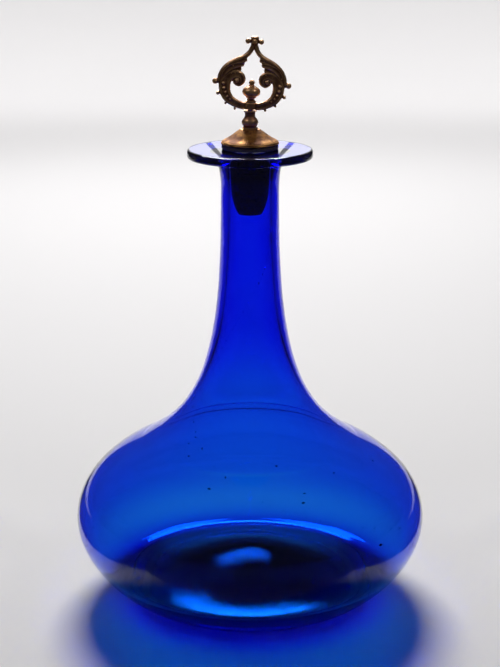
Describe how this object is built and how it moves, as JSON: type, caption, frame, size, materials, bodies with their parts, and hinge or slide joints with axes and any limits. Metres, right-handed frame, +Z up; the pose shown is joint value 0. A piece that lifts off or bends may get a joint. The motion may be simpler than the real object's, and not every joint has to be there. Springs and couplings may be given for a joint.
{
  "type": "stoppered glass flask",
  "caption": "Blown cobalt-glass flask with a squat body, long neck and flat lip, closed by a cork in an openwork brass mount.",
  "frame": {"origin": "on the flask's axis, in the plane that its foot ring stands on", "axes": "+Z up along the neck, +X across the crest towards the side that it leans to, -Y towards the viewer of the crest's face"},
  "size_m": [0.1824, 0.1824, 0.292],
  "materials": {
    "cobalt_glass": "clear deep blue blown glass with a few seeds and specks",
    "gilt_brass": "worn gilding, darker in the grooves",
    "aged_brass": "dark brown patina, rubbed bright on the high points",
    "seal_leather": "dark, compressed",
    "cork": "old stained cork with fine pits",
    "nut_steel": "dull"
  },
  "bodies": {
    "flask": {"flask": "cobalt_glass"},
    "seal": {"seal_washer": "seal_leather"},
    "stopper": {"cork_plug": "cork", "cap_base_plate": "gilt_brass", "cap_cone": "gilt_brass", "stem_baluster": "aged_brass", "crest": "aged_brass", "urn_finial": "aged_brass", "tie_rod": "nut_steel", "cork_washer": "nut_steel", "cork_nut": "nut_steel"}
  },
  "joints": [
    {"name": "stopper_lift", "type": "slide", "parent": "flask", "child": "seal", "axis": [0, 0, 1], "range_m": [0, 0.06]},
    {"name": "stopper_turn", "type": "hinge", "parent": "seal", "child": "stopper", "pos_m": [0, 0, 0.238], "axis": [0, 0, 1], "continuous": true}
  ]
}
